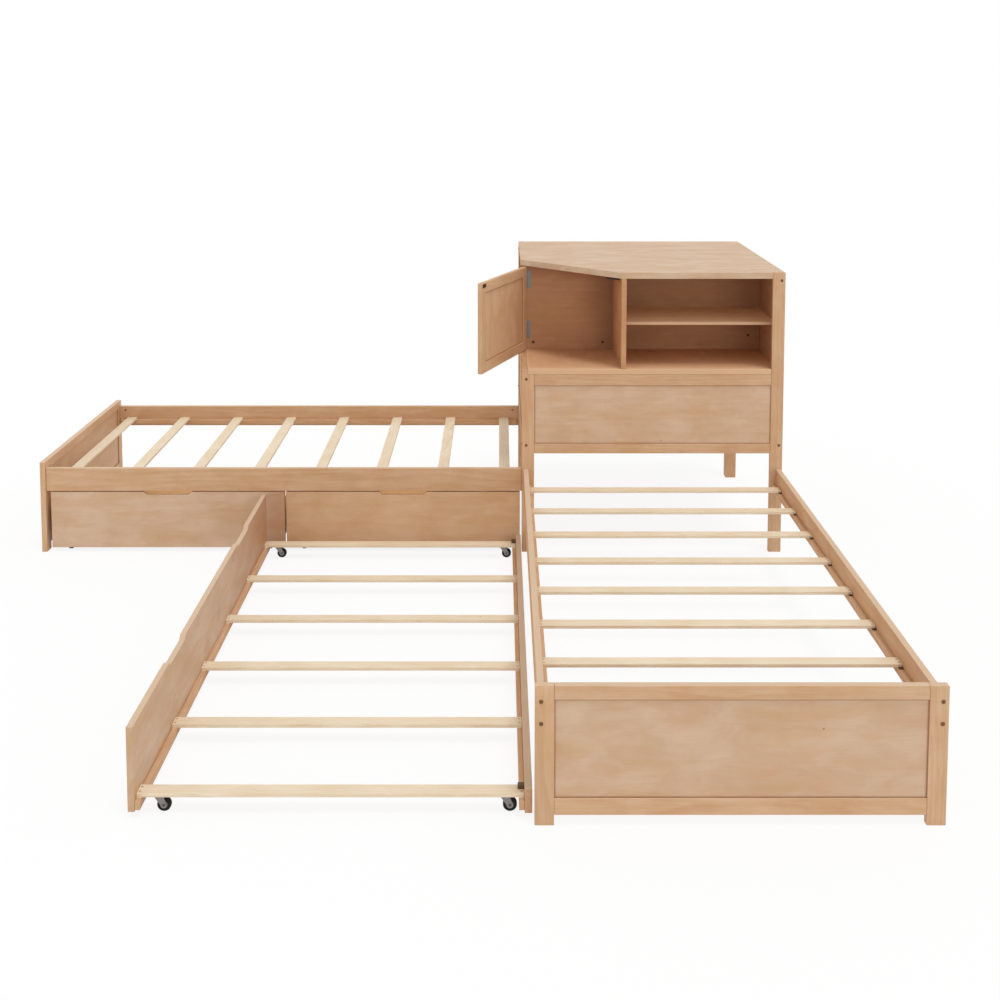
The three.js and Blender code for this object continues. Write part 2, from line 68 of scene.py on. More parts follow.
camera = bpy.data.objects.new("camera", bpy.data.cameras.new("camera"))
bpy.context.scene.collection.objects.link(camera)
camera.location = (camera_right, low.y - camera_distance, camera_height)
camera.rotation_euler = (math.radians(90 - camera_pitch_degrees), 0, 0)
camera.data.sensor_width = sensor_mm
camera.data.lens = lens_mm
camera.data.shift_y = rise_share
bpy.context.scene.camera = camera


# Studio: a pale floor that turns white away from the bed, an even white surround, and one broad
# lamp above, a little in front and to the right. The floor keeps a faint shadow.
def node(tree, kind, inputs=None, **properties):
    """A shader node: properties by name, inputs by socket, each a value or another's output."""
    made = tree.nodes.new("ShaderNode" + kind)
    for name, value in properties.items():
        setattr(made, name, value)
    for socket, value in (inputs or {}).items():
        if isinstance(value, bpy.types.NodeSocket):
            tree.links.new(value, made.inputs[socket])
        else:
            made.inputs[socket].default_value = value
    return made


def calc(tree, operation, first, second=0.0):
    return node(tree, "Math", {0: first, 1: second}, operation=operation).outputs[0]


def times(tree, first, second):
    return calc(tree, "MULTIPLY", first, second)


def plus(tree, first, second):
    return calc(tree, "ADD", first, second)


def vector(tree, operation, first, second=(0.0, 0.0, 0.0)):
    """Vector arithmetic. A length or a dot product comes out as a number."""
    made = node(tree, "VectorMath", {0: first, 1: second}, operation=operation)
    return made.outputs["Value" if operation in ("LENGTH", "DOT_PRODUCT") else "Vector"]


def coordinates(tree, kind="Object"):
    """The x, y and z of a place on the bed, of its surface's normal, or of a direction."""
    return node(tree, "SeparateXYZ", {0: node(tree, "TexCoord").outputs[kind]}).outputs


def ease(tree, value, start, end):
    """0 below start, 1 above end and a smooth step between them."""
    inputs = {"Value": value, "From Min": start, "From Max": end}
    return node(tree, "MapRange", inputs, interpolation_type="SMOOTHSTEP").outputs["Result"]


def blend(tree, factor, first, second):
    return node(tree, "Mix", {0: factor, 6: first, 7: second}, data_type="RGBA").outputs[2]


def new_material(name):
    material = bpy.data.materials.new(name)
    material.use_nodes = True
    material.node_tree.nodes.clear()
    return material, material.node_tree


def seen_directly(tree):
    """1 for the camera and for what polished metal mirrors, 0 for the light on the bed."""
    path = node(tree, "LightPath")
    mirrored = calc(tree, "MAXIMUM", path.outputs["Is Camera Ray"], path.outputs["Is Glossy Ray"])
    return calc(tree, "MAXIMUM", mirrored, path.outputs["Is Transmission Ray"])


white = (1.0, 1.0, 1.0, 1.0)
horizon_level, zenith_level = 1.13, 0.52
lamp_level = 0.98
lamp_spread_degrees = 16
lamp_tilt_degrees = 13
lamp_side_degrees = 10
floor_radius = 14.0
floor_segments = 96
floor_grey, floor_shown = 0.86, 0.96
floor_roughness = 0.9
shadow_share = 0.13
fade_start, fade_end = 2.6, 5.0

scene = bpy.context.scene
scene.view_settings.view_transform = "Standard"
scene.world = bpy.data.worlds.new("white_surround")
scene.world.use_nodes = True
tree = scene.world.node_tree
tree.nodes.clear()
steepness = calc(tree, "ABSOLUTE", coordinates(tree, "Generated")["Z"])
fall = times(tree, steepness, horizon_level - zenith_level)
strength = calc(tree, "SUBTRACT", horizon_level, fall)
light = node(tree, "Background", {"Color": white, "Strength": strength})
backdrop = node(tree, "Background", {"Color": white, "Strength": 1.0})
mix = node(tree, "MixShader", {0: seen_directly(tree), 1: light.outputs[0], 2: backdrop.outputs[0]})
node(tree, "OutputWorld", {"Surface": mix.outputs[0]})

lamp = bpy.data.objects.new("broad_lamp", bpy.data.lights.new("broad_lamp", "SUN"))
lamp.data.energy = lamp_level
lamp.data.angle = math.radians(lamp_spread_degrees)
lamp.rotation_euler.x = math.radians(lamp_tilt_degrees)
lamp.rotation_euler.y = math.radians(lamp_side_degrees)
scene.collection.objects.link(lamp)

bm = bmesh.new()
bmesh.ops.create_circle(bm, cap_ends=True, radius=floor_radius, segments=floor_segments)
floor = bpy.data.objects.new("floor", bpy.data.meshes.new("floor"))
bm.to_mesh(floor.data)
bm.free()
scene.collection.objects.link(floor)
material, tree = new_material("pale_floor")
away = vector(tree, "LENGTH", node(tree, "TexCoord").outputs["Object"])
kept = ease(tree, away, fade_end, fade_start)
shown = calc(tree, "SUBTRACT", 1.0, times(tree, kept, shadow_share))
factor = times(tree, shown, seen_directly(tree))
shade = blend(tree, seen_directly(tree), (floor_grey,) * 3 + (1.0,), (floor_shown,) * 3 + (1.0,))
paint = node(tree, "BsdfPrincipled", {"Base Color": shade, "Roughness": floor_roughness})
glow = node(tree, "Emission", {"Color": white, "Strength": 1.0})
mix = node(tree, "MixShader", {0: factor, 1: paint.outputs[0], 2: glow.outputs[0]})
node(tree, "OutputMaterial", {"Surface": mix.outputs[0]})
floor.data.materials.append(material)


# Footboards and side rails: solid light hardwood, planed, with edges eased by sandpaper and a
# satin varnish. Each board is cut from its own place in the log, so each has its own figure.
# The footboards' panels are veneered and stand in grooves, with painted shade where they meet the frame.
# The boards' upper faces carry a paler painted sheen.
def colour(red, green, blue):
    """A colour given as the eye sees it, from 0 to 255."""
    parts = [channel / 255 for channel in (red, green, blue)]
    return [p / 12.92 if p <= 0.04045 else ((p + 0.055) / 1.055) ** 2.4 for p in parts] + [1.0]


def group_sockets(group, inputs, outputs):
    for name, kind in inputs.items():
        group.interface.new_socket(name, in_out="INPUT", socket_type="NodeSocket" + kind)
    for name, kind in outputs.items():
        group.interface.new_socket(name, in_out="OUTPUT", socket_type="NodeSocket" + kind)
    return group.nodes.new("NodeGroupInput").outputs, group.nodes.new("NodeGroupOutput").inputs


evenly = (1.0, 1.0, 1.0)


def noise(tree, place, stretch, scale, detail, **more):
    """Noise from 0 to 1 at a place, drawn out by a stretch along each axis."""
    drawn = vector(tree, "MULTIPLY", place, stretch)
    return node(tree, "TexNoise", {"Vector": drawn, "Scale": scale, "Detail": detail, **more}).outputs[0]


def timber_figure_group():
    """Growth rings round a pith outside the board, fine fibre, pores, soft mottling, golden and
    rosy patches, pin knots and end grain. Place is in metres with x along the fibres, and Facing
    is the surface's normal, turned alike."""
    # Each noise: its stretch, scale and detail.
    wander_noise = (0.9, 4.5, 4.5), 1.6, 2.0
    fibre_noise = (3.0, 130.0, 130.0), 2.4, 4.0
    pore_noise = (55.0, 900.0, 900.0), 1.3, 1.0
    cloud_noise = (4.6, 8.5, 8.5), 1.5, 4.0
    speck_noise = (300.0, 300.0, 300.0), 3.0, 2.0
    streak_noise = (2.0, 9.0, 9.0), 1.9, 4.0
    flush_noise = (5.0, 13.0, 13.0), 1.7, 3.0
    fibre_range, pore_range, cloud_range = (0.32, 0.7), (0.64, 0.74), (0.3, 0.72)
    gold_range, rose_range = (0.46, 0.68), (0.50, 0.68)
    ring_wander = 0.075
    early_share, late_share = 0.78, 0.82
    pore_tone, relief_share = 0.22, 0.5
    end_start, end_full = 0.55, 0.85
    ring_in_end, speck_in_end = 0.3, 0.7
    soaked_share, patch_depth, rosy_share, knot_share = 0.25, 0.5, 0.65, 0.6
    smooth, rough_by_fibre, rough_by_end = 0.46, 0.16, 0.14
    knot_cell = 0.22
    knot_edge, knot_heart = 0.0042, 0.0014
    knotless_share = 0.955
    soaked_brown, golden_brown = (168, 118, 76), (204, 158, 98)
    rosy_brown, knot_brown = (216, 152, 120), (146, 98, 62)

    tree = bpy.data.node_groups.new("timber_figure", "ShaderNodeTree")
    given, result = group_sockets(
        tree,
        {"Place": "Vector", "Facing": "Vector", "Pale": "Color", "Deep": "Color",
         "Ring Width": "Float", "Figure": "Float", "Mottle": "Float", "Fibre": "Float",
         "Gold": "Float", "Ends": "Float"},
        {"Color": "Color", "Roughness": "Float", "Height": "Float"},
    )
    place = given["Place"]
    wander = noise(tree, place, *wander_noise)
    split = node(tree, "SeparateXYZ", {0: place}).outputs
    across = times(tree, split["Y"], split["Y"])
    upward = times(tree, split["Z"], split["Z"])
    from_pith = calc(tree, "SQRT", plus(tree, across, upward))
    bent = plus(tree, from_pith, times(tree, wander, ring_wander))
    saw = calc(tree, "FRACT", calc(tree, "DIVIDE", bent, given["Ring Width"]))
    ring = times(tree, ease(tree, saw, 0.0, early_share), ease(tree, saw, 1.0, late_share))

    fibre = noise(tree, place, *fibre_noise, Roughness=0.62)
    pore = ease(tree, noise(tree, place, *pore_noise), *pore_range)
    cloud = noise(tree, place, *cloud_noise, Roughness=0.6, Distortion=0.5)
    ring_part = times(tree, ring, given["Figure"])
    fibre_part = times(tree, ease(tree, fibre, *fibre_range), given["Fibre"])
    cloud_part = times(tree, ease(tree, cloud, *cloud_range), given["Mottle"])
    total = plus(tree, plus(tree, ring_part, fibre_part), cloud_part)
    tone = node(tree, "Clamp", {"Value": plus(tree, total, times(tree, pore, pore_tone))}).outputs[0]

    end = node(tree, "SeparateXYZ", {0: given["Facing"]}).outputs["X"]
    end_mask = ease(tree, calc(tree, "ABSOLUTE", end), end_start, end_full)
    end_mask = times(tree, end_mask, given["Ends"])
    end_speck = noise(tree, place, *speck_noise)
    end_tone = plus(tree, times(tree, ring, ring_in_end), times(tree, end_speck, speck_in_end))
    side_colour = blend(tree, tone, given["Pale"], given["Deep"])
    soaked = blend(tree, soaked_share, given["Deep"], colour(*soaked_brown))
    wood = blend(tree, end_mask, side_colour, blend(tree, end_tone, given["Pale"], soaked))

    streak = noise(tree, place, *streak_noise, Roughness=0.6)
    gold = times(tree, ease(tree, streak, *gold_range), given["Gold"])
    golden = blend(tree, patch_depth, given["Deep"], colour(*golden_brown))
    wood = blend(tree, gold, wood, golden)
    flush = noise(tree, place, *flush_noise, Roughness=0.6)
    rose = times(tree, ease(tree, flush, *rose_range), times(tree, given["Gold"], rosy_share))
    rosy = blend(tree, patch_depth, given["Deep"], colour(*rosy_brown))
    wood = blend(tree, rose, wood, rosy)

    flat = node(tree, "CombineXYZ", {0: split["X"], 1: plus(tree, split["Y"], split["Z"])}).outputs[0]
    cells = node(tree, "TexVoronoi", {"Vector": flat, "Scale": 1 / knot_cell}, voronoi_dimensions="2D")
    draw = node(tree, "SeparateColor", {0: cells.outputs["Color"]}).outputs[0]
    is_knot = calc(tree, "GREATER_THAN", draw, knotless_share)
    near = ease(tree, cells.outputs["Distance"], knot_edge / knot_cell, knot_heart / knot_cell)
    knot = times(tree, times(tree, near, is_knot), knot_share)
    tree.links.new(blend(tree, knot, wood, colour(*knot_brown)), result["Color"])

    rough = plus(tree, smooth, times(tree, fibre, rough_by_fibre))
    tree.links.new(plus(tree, rough, times(tree, end_mask, rough_by_end)), result["Roughness"])
    pits = times(tree, pore, relief_share)
    tree.links.new(calc(tree, "SUBTRACT", times(tree, fibre, relief_share), pits), result["Height"])
    return tree


def rubbed_edge_group():
    """A mask of the edges that hands and cloths have rubbed, from how the rounded normal turns."""
    least_rubbed, patchy = 0.35, 0.65
    just_turned, well_turned = 0.995, 0.80
    patch_noise, patch_range = (evenly, 14.0, 3.0), (0.30, 0.62)
    tree = bpy.data.node_groups.new("rubbed_edge", "ShaderNodeTree")
    given, result = group_sockets(tree, {"Place": "Vector", "Reach": "Float"}, {"Mask": "Float"})
    rounded = node(tree, "Bevel", {"Radius": given["Reach"]}, samples=4).outputs[0]
    flat = node(tree, "NewGeometry").outputs["Normal"]
    turned_away = ease(tree, vector(tree, "DOT_PRODUCT", rounded, flat), just_turned, well_turned)
    patches = ease(tree, noise(tree, given["Place"], *patch_noise), *patch_range)
    share = plus(tree, times(tree, patches, patchy), least_rubbed)
    tree.links.new(times(tree, turned_away, share), result["Mask"])
    return tree


def panel_corner_shade_group():
    """A mask for the painted shade in the corners between a panel and its frame. Low and High are the
    corners of the frame's opening, and lie far away along the panel's thickness."""
    least_corner_shade, patchy = 0.7, 0.5
    at_reach, at_corner = 1.0, 0.2
    patch_noise = evenly, 30.0, 2.0
    tree = bpy.data.node_groups.new("panel_corner_shade", "ShaderNodeTree")
    given, result = group_sockets(
        tree, {"Place": "Vector", "Low": "Vector", "High": "Vector", "Reach": "Float"}, {"Mask": "Float"})
    above = vector(tree, "SUBTRACT", given["Place"], given["Low"])
    below = vector(tree, "SUBTRACT", given["High"], given["Place"])
    parts = node(tree, "SeparateXYZ", {0: vector(tree, "MINIMUM", above, below)}).outputs
    nearest = calc(tree, "MINIMUM", calc(tree, "MINIMUM", parts[0], parts[1]), parts[2])
    closeness = calc(tree, "DIVIDE", nearest, given["Reach"])
    patches = noise(tree, given["Place"], *patch_noise)
    uneven = plus(tree, times(tree, patches, patchy), least_corner_shade)
    tree.links.new(times(tree, ease(tree, closeness, at_reach, at_corner), uneven), result["Mask"])
    return tree


timber_figure = timber_figure_group()
rubbed_edge = rubbed_edge_group()
panel_corner_shade = panel_corner_shade_group()
chance = random.Random(11)
fibre_turns = {"x": (0, 0, 0), "y": (0, 0, -math.pi / 2), "z": (0, math.pi / 2, 0)}

varnished = {"pale": colour(220, 184, 150), "deep": colour(197, 151, 107), "edge": colour(207, 163, 121)}
veneered = {"pale": colour(217, 188, 161), "deep": colour(198, 158, 121), "edge": colour(198, 151, 110)}
plain_veneer = {"figure": 0.12, "mottle": 0.48, "fibre": 0.12, "ring_width": 0.024}
post_edge, rail_edge, panel_edge = 0.002, 0.0015, 0.0006


def figured(tree, wood, fibres, offset, figure, mottle, fibre, ring_width, gold=0.4, ends=1.0):
    """One timber figure in a material: colour, roughness, height and its place along the fibres."""
    turn = fibres if isinstance(fibres, tuple) else fibre_turns[fibres]
    source = node(tree, "TexCoord")
    place = node(tree, "Mapping", {"Vector": source.outputs["Object"], "Location": offset,
                                   "Rotation": turn}).outputs[0]
    facing = node(tree, "Mapping", {"Vector": source.outputs["Normal"], "Rotation": turn},
                  vector_type="VECTOR").outputs[0]
    settings = {"Place": place, "Facing": facing, "Pale": wood["pale"], "Deep": wood["deep"],
                "Ring Width": ring_width, "Figure": figure, "Mottle": mottle, "Fibre": fibre,
                "Gold": gold, "Ends": ends}
    return node(tree, "Group", settings, node_tree=timber_figure).outputs, place


def masked(tree, group, inputs):
    """The mask that a group puts out, with the group's inputs by name."""
    return node(tree, "Group", inputs, node_tree=group).outputs["Mask"]


def bump(tree, height, strength, depth):
    inputs = {"Height": height, "Strength": strength, "Distance": depth}
    return node(tree, "Bump", inputs).outputs[0]


def finish_timber(tree, wood, surface, height, place, rough, reach=0.0035):
    """The varnish over a figured surface, rubbed at the edges. It is satin, so its sheen fades
    where the surface is seen edge-on."""
    worn_share = 0.7
    fibre_relief, fibre_depth = 0.12, 0.0006
    varnish_ior, satin = 1.45, 0.26
    sheen_gone, sheen_whole = 0.985, 0.8
    worn = times(tree, masked(tree, rubbed_edge, {"Place": place, "Reach": reach}), worn_share)
    shade = blend(tree, worn, surface, wood["edge"])
    relief = bump(tree, height, fibre_relief, fibre_depth)
    edge_on = node(tree, "LayerWeight", {"Blend": 0.5}).outputs["Facing"]
    sheen = times(tree, ease(tree, edge_on, sheen_gone, sheen_whole), satin)
    varnish = node(tree, "BsdfPrincipled", {"Base Color": shade, "Roughness": rough,
                                            "Normal": relief, "IOR": varnish_ior,
                                            "Specular IOR Level": sheen})
    varnish.inputs["Specular IOR Level"].default_value = satin
    node(tree, "OutputMaterial", {"Surface": varnish.outputs[0]})


def place_in_log(across=0.35, up=0.30):
    """A place in the log, drawn by chance and at most so far from the pith."""
    along, least_across, least_up = 3, 0.05, 0.03
    return (chance.uniform(-along, along), chance.uniform(least_across, across),
            chance.uniform(least_up, up))


def own_timber(wood):
    """A board's own place in the log and its own tint, drawn by chance."""
    darkest, lightest = 0.965, 1.03
    offset = place_in_log()
    tint = chance.uniform(darkest, lightest)
    return offset, {part: [c * tint for c in shade[:3]] + [1.0] for part, shade in wood.items()}


def timber(name, fibres, wood, figure=0.22, mottle=0.38, fibre=0.26, ring_width=0.013, ends=0.7):
    """A board's own timber with the varnish over it. Its fibres run along an axis."""
    material, tree = new_material(name)
    offset, own = own_timber(wood)
    grain, place = figured(tree, own, fibres, offset, figure, mottle, fibre, ring_width, ends=ends)
    finish_timber(tree, own, grain["Color"], grain["Height"], place, grain["Roughness"])
    return material


def redder(wood):
    """The same timber, redder. On the right drawer front this partly stands in for warm shade."""
    green_share, blue_share = 0.92, 0.81
    return {part: [shade[0], shade[1] * green_share, shade[2] * blue_share, 1.0]
            for part, shade in wood.items()}


def overlay(material, mask, shade):
    """Lays a colour over a finished material where a mask of its own tree says so."""
    tree = material.node_tree
    varnish = next(n for n in tree.nodes if n.bl_idname == "ShaderNodeBsdfPrincipled")
    below = varnish.inputs["Base Color"].links[0].from_socket
    tree.links.new(blend(tree, mask, below, shade), varnish.inputs["Base Color"])


def paint_panel_corner_shade(material, opening, place=None):
    """Painted shade: darkens a panel where it meets its frame."""
    reach, share = 0.006, 0.62
    painted_corner_shade = colour(150, 101, 66)
    tree = material.node_tree
    place = place or node(tree, "TexCoord").outputs["Object"]
    inputs = {"Place": place, "Low": opening[0], "High": opening[1], "Reach": reach}
    overlay(material, times(tree, masked(tree, panel_corner_shade, inputs), share), painted_corner_shade)


def on_top(tree):
    """1 where a surface faces up."""
    start, full = 0.5, 0.8
    return ease(tree, coordinates(tree, "Normal")["Z"], start, full)


def paint_top_sheen(material):
    """A painted sheen: a paler colour on a board's upper edge, on the faces that look up."""
    share = 0.7
    painted_top_sheen = colour(220, 193, 165)
    tree = material.node_tree
    overlay(material, times(tree, on_top(tree), share), painted_top_sheen)
    return material


def ease_edges(board, width):
    """Flat faces made whole again, then every sharp edge rounded."""
    flat_degrees, sharp_degrees = 1, 35
    weld = board.modifiers.new("weld", "WELD")
    weld.merge_threshold = 0.00001
    planar = board.modifiers.new("planar", "DECIMATE")
    planar.decimate_type = "DISSOLVE"
    planar.angle_limit = math.radians(flat_degrees)
    rounding = board.modifiers.new("eased_edges", "BEVEL")
    rounding.width = width
    rounding.segments = 2
    rounding.limit_method = "ANGLE"
    rounding.angle_limit = math.radians(sharp_degrees)
    rounding.use_clamp_overlap = True
    rounding.miter_outer = "MITER_ARC"


def dress(name, material, edge):
    """A CAD board keeps its shape, gets its timber and has its edges eased."""
    board = nodes[name]
    board.data.materials.clear()
    board.data.materials.append(material)
    ease_edges(board, edge)


def opening_between(posts, bottom_rail, top_rail, across):
    """The corners of what a frame of two posts and two rails leaves open."""
    far_off = 10.0
    axis = "xyz".index(across)
    first, second = sorted((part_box(post) for post in posts), key=lambda box: box[0][axis])
    low_corner = Vector((-far_off, -far_off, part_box(bottom_rail)[1].z))
    high_corner = Vector((far_off, far_off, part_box(top_rail)[0].z))
    low_corner[axis] = first[1][axis]
    high_corner[axis] = second[0][axis]
    return low_corner, high_corner


red_boards = ("bed_a_right_side_rail", "bed_b_footboard_panel", "right_drawer_front")
# The posts and rails carry a painted sheen on their upper faces.
for bed, across, along in (("bed_a", "x", "y"), ("bed_b", "y", "x")):
    foot = f"{bed}_footboard"
    for side in ("left", "right"):
        post = f"{foot}_{side}_post"
        dress(post, paint_top_sheen(timber(post, "z", varnished)), post_edge)
        rail = f"{bed}_{side}_side_rail"
        wood = redder(varnished) if rail in red_boards else varnished
        material = timber(rail, along, wood, figure=0.24, ring_width=0.016)
        dress(rail, paint_top_sheen(material), post_edge)
    rails = f"{foot}_bottom_rail", f"{foot}_top_rail"
    for rail in rails:
        dress(rail, paint_top_sheen(timber(rail, across, varnished)), rail_edge)
    # Painted shade on the panel where it meets its frame.
    panel = f"{foot}_panel"
    wood = redder(veneered) if panel in red_boards else veneered
    material = timber(panel, across, wood, **plain_veneer)
    posts = f"{foot}_left_post", f"{foot}_right_post"
    paint_panel_corner_shade(material, opening_between(posts, *rails, across))
    dress(panel, material, panel_edge)


# Slats and ledgers: the ledgers are strips of the frame's timber screwed to the side rails, and
# the slats are pale pine with fine straight grain, screwed down onto them.
pine = {"pale": colour(244, 230, 207), "deep": colour(224, 199, 162), "edge": colour(224, 197, 158)}
bed_ledger_top = 0.2845
trundle_ledger_top = 0.047
slat_edge = 0.0012


def slatted(name, slat_fibres, ledger_fibres, ledger_top):
    """Two timbers in one piece: pine above the ledgers' top, the frame's timber below it."""
    material, tree = new_material(name)
    offset = place_in_log(across=0.3, up=0.2)
    slat, place = figured(tree, pine, slat_fibres, offset, figure=0.30, mottle=0.32, fibre=0.34,
                          ring_width=0.0065, gold=0.05)
    ledger, _ = figured(tree, varnished, ledger_fibres, offset, figure=0.35, mottle=0.3, fibre=0.26,
                        ring_width=0.010)
    is_slat = calc(tree, "GREATER_THAN", coordinates(tree)["Z"], ledger_top)
    surface = blend(tree, is_slat, ledger["Color"], slat["Color"])
    own = {"edge": blend(tree, is_slat, varnished["edge"], pine["edge"])}
    finish_timber(tree, own, surface, slat["Height"], place, slat["Roughness"], reach=0.0025)
    return material


for name, slat_fibres, ledger_fibres, ledger_top in (
    ("bed_a_slats_on_ledgers", "x", "y", bed_ledger_top),
    ("bed_b_slats_on_ledgers", "y", "x", bed_ledger_top),
    ("trundle_slats_on_ledgers", "x", "y", trundle_ledger_top),
):
    dress(name, slatted(name, slat_fibres, ledger_fibres, ledger_top), slat_edge)


# Corner bookcase: solid posts and rails on four legs, with a veneered panel in each headboard
# and veneered boards between the posts, bolted and held by cam locks. The larger boards are
# glued up from two, so that a fine joint line runs across them.
board_veneer = {"figure": 0.12, "mottle": 0.5, "fibre": 0.18, "ring_width": 0.021}


def jointed_board(name, wood, fibres, axis, joint_place):
    """A veneered board with one glue line, square to an axis."""
    joint_width, share = 0.0007, 0.55
    glue_brown = colour(140, 98, 66)
    material = timber(name, fibres, wood, ends=0.0, **board_veneer)
    tree = material.node_tree
    off = calc(tree, "ABSOLUTE", calc(tree, "SUBTRACT", coordinates(tree)[axis], joint_place))
    line = times(tree, ease(tree, off, joint_width, joint_width / 4), share)
    overlay(material, line, glue_brown)
    return material


def lip_front(material, shade):
    """A strip of solid timber along a board's edges on the beds' sides."""
    start, full, share = 0.6, 0.85, 0.85
    tree = material.node_tree
    facing = coordinates(tree, "Normal")
    forward = times(tree, plus(tree, facing["X"], facing["Y"]), -1.0)
    overlay(material, times(tree, ease(tree, forward, start, full), share), shade)


def paint_front_light(material, shade, front, depth, blur, share=0.85):
    """Painted light: a paler strip on top of a board, along its edges on the beds' sides."""
    tree = material.node_tree
    place = coordinates(tree)
    nearest = calc(tree, "MINIMUM", place["X"], place["Y"])
    strip = ease(tree, nearest, front + depth + blur / 2, front + depth - blur / 2)
    overlay(material, times(tree, times(tree, strip, on_top(tree)), share), shade)


def paint_shade_towards(material, axis, start, end, shade, share, until=None):
    """Painted shade: darkens a board along an axis, from start on and by the whole share at end. Past
    until, the board is as it was."""
    tree = material.node_tree
    place = coordinates(tree)[axis]
    mask = times(tree, ease(tree, place, start, end), share)
    if until is not None:
        mask = times(tree, mask, calc(tree, "LESS_THAN", place, until))
    overlay(material, mask, shade)


def lined_board(name, fibres, outward):
    """The beds' veneer on the outer face, and on the inner face the bookcase's inside timber, which is
    darker and more saturated: partly a warmer veneer, partly painted shade for the inside of the
    bookcase.
    """
    start, full = -0.2, 0.5
    material, tree = new_material(name)
    offset, own = own_timber(inside)
    inner, place = figured(tree, own, fibres, offset, ends=0.0, **board_veneer)
    outer, _ = figured(tree, veneered, fibres, offset, ends=0.0, **board_veneer)
    match = vector(tree, "DOT_PRODUCT", node(tree, "TexCoord").outputs["Normal"], outward)
    surface = blend(tree, ease(tree, match, start, full), inner["Color"], outer["Color"])
    finish_timber(tree, own, surface, inner["Height"], place, inner["Roughness"])
    return material


# The inside timber is darker and more saturated than the veneer: partly a warmer veneer, partly painted
# shade for the inside of the bookcase. The lower board's timber is darkened likewise for the shade under
# the top board, and the top board's paler timber partly stands in for the sheen on its upper face.
inside = {"pale": colour(205, 157, 118), "deep": colour(184, 131, 92), "edge": colour(188, 138, 96)}
lower = {"pale": colour(211, 165, 127), "deep": colour(192, 142, 102), "edge": colour(206, 162, 122)}
upper = {"pale": colour(214, 189, 164), "deep": colour(194, 159, 125), "edge": colour(194, 148, 108)}
for name in ("corner_post", "back_corner_leg", "bed_a_headboard_right_post",
             "bed_b_headboard_far_post"):
    dress(name, timber(name, "z", varnished), post_edge)
for head, across, outer in (("bed_a_headboard", "x", "right"), ("bed_b_headboard", "y", "far")):
    rails = f"{head}_bottom_rail", f"{head}_top_rail"
    for rail in rails:
        dress(rail, timber(rail, across, varnished), rail_edge)
    # Painted shade on the panel where it meets its frame.
    panel = f"{head}_panel"
    material = timber(panel, across, veneered, **plain_veneer)
    posts = "corner_post", f"{head}_{outer}_post"
    paint_panel_corner_shade(material, opening_between(posts, *rails, across))
    dress(panel, material, panel_edge)
top_joint = high.y - 0.285
lower_joint = high.x - 0.557
panel_joint = 0.818
dress("top_board", jointed_board("top_board", upper, "x", "Y", top_joint), rail_edge)
material = jointed_board("lower_board", lower, "y", "X", lower_joint)
lower_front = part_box("lower_board")[0].y
light_depth, light_blur = 0.13, 0.2
lip_depth, lip_blur = 0.028, 0.022
# Painted light on the lower board's top: a broad band where the lamp reaches in past the top board, and a
# narrow one along the front lip.
paint_front_light(material, colour(238, 194, 150), lower_front, light_depth, light_blur, share=0.5)
paint_front_light(material, colour(236, 194, 156), lower_front, lip_depth, lip_blur)
lip_front(material, colour(222, 182, 145))
dress("lower_board", material, rail_edge)
board_edge = 0.001
dress("front_divider", timber("front_divider", "y", inside, ends=0.0, **board_veneer), board_edge)
under_top, at_top = high.z - 0.10, high.z - 0.03
near_side, at_side = high.x - 0.20, high.x - 0.05
near_divider, at_divider = 0.68, 0.88
behind_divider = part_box("front_divider")[1].x
for name, fibres, across in (("cross_panel", "x", "X"), ("side_bookcase_back", "y", "Y")):
    material = jointed_board(name, inside, fibres, "Z", panel_joint)
    # Painted shade: darker under the top board and towards the side, and on the cross panel towards the
    # divider, where shade falls in the corners.
    paint_shade_towards(material, "Z", under_top, at_top, colour(140, 90, 58), share=0.35)
    paint_shade_towards(material, across, near_side, at_side, colour(130, 80, 50), share=0.4)
    if name == "cross_panel":
        paint_shade_towards(material, across, near_divider, at_divider, colour(70, 36, 22), share=0.45,
                       until=behind_divider)
    dress(name, material, board_edge)
for name, fibres, outward in (("right_side_panel", "y", (1, 0, 0)),
                              ("back_side_panel", "x", (0, 1, 0))):
    dress(name, lined_board(name, fibres, outward), board_edge)


# Shelves: thinner veneered boards, set back from the front and resting in shallow grooves of the divider
# and the side panel. Their timber is a paler, warmer copy of the veneer, which is painted light for the
# light that reaches the shelves.
shelving = {"pale": colour(252, 212, 170), "deep": colour(240, 196, 152), "edge": colour(222, 180, 142)}
for name, fibres in (("front_shelf", "x"), ("side_shelf", "y")):
    material = timber(name, fibres, shelving, ends=0.0, **board_veneer)
    lip_front(material, colour(206, 166, 132))
    dress(name, material, board_edge)


# Door: stiles and rails of solid timber round a veneered panel that stands in a groove. The
# stiles' fibres run up and the rails' along the door. It hangs ajar on two hinges.
door_open_degrees, chamfer_degrees = 66, 45
door_turn = math.radians(door_open_degrees + chamfer_degrees)
door_run = (0.005, 0.529)
stile_width = 0.042
hinge_setback, hinge_along = 0.012, 0.389
head_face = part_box("bed_a_headboard_right_post")[0].y
door_low, door_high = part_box("door_frame")
pin = Vector((head_face + hinge_setback, head_face + hinge_along, door_low.z))
door_swing = Matrix.Translation(pin) @ Matrix.Rotation(-door_turn, 4, "Z")
to_pin = door_swing.inverted().translation


def on_door(tree):
    """A place in the door's own frame, from the hinge pin along x."""
    source = node(tree, "TexCoord").outputs["Object"]
    return node(tree, "Mapping", {"Vector": source, "Rotation": (0, 0, door_turn),
                                  "Location": to_pin}).outputs[0]


